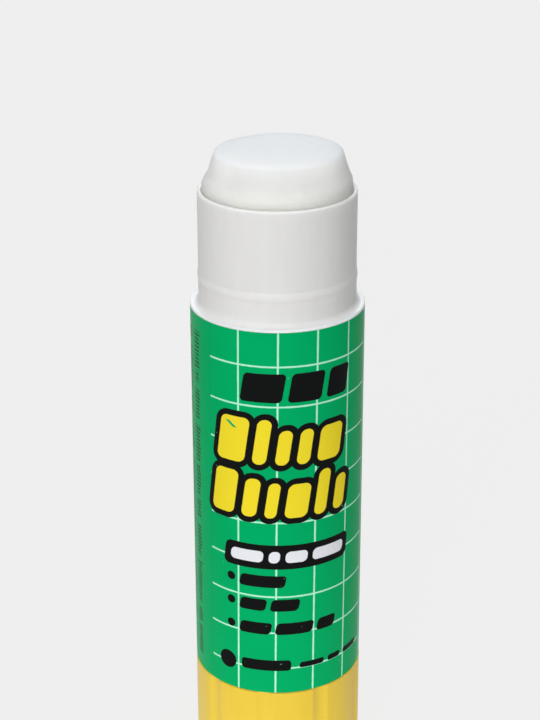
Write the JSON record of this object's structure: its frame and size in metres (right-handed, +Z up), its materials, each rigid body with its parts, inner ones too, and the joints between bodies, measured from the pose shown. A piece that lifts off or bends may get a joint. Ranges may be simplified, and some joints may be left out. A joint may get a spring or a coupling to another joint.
{
  "type": "glue stick",
  "caption": "Twist-up glue stick, cap off: printed barrel with a stepped neck, fluted turning knob, screw spindle, carrier cup and white adhesive.",
  "frame": {"origin": "centre of the knob's flat base, where the part stands", "axes": "+Z up along the barrel towards the glue, -Y towards the printed front, +X to the front's right"},
  "size_m": [0.023, 0.023, 0.0881],
  "materials": {
    "barrel_plastic": "satin white moulding",
    "label_film": "glossy printed film",
    "knob_plastic": "semi-gloss yellow moulding",
    "spindle_plastic": "natural white moulding",
    "carrier_plastic": "natural white moulding",
    "adhesive": "waxy, slightly translucent"
  },
  "bodies": {
    "barrel_body": {"barrel": "barrel_plastic", "label_sleeve": "label_film"},
    "knob_body": {"knob": "knob_plastic", "spindle": "spindle_plastic"},
    "carrier_body": {"carrier": "carrier_plastic", "glue": "adhesive"}
  },
  "joints": [
    {"name": "knob_turn", "type": "hinge", "parent": "barrel_body", "child": "knob_body", "pos_m": [0, 0, 0.01465], "axis": [0, 0, 1], "range_deg": [-471.6, 2739.6]},
    {"name": "carrier_lift", "type": "slide", "parent": "barrel_body", "child": "carrier_body", "axis": [0, 0, 1], "range_m": [-0.0065, 0.038]}
  ],
  "couplings": [
    {"joint": "knob_turn", "follows": "carrier_lift", "rad_per_m": 1256.6}
  ]
}
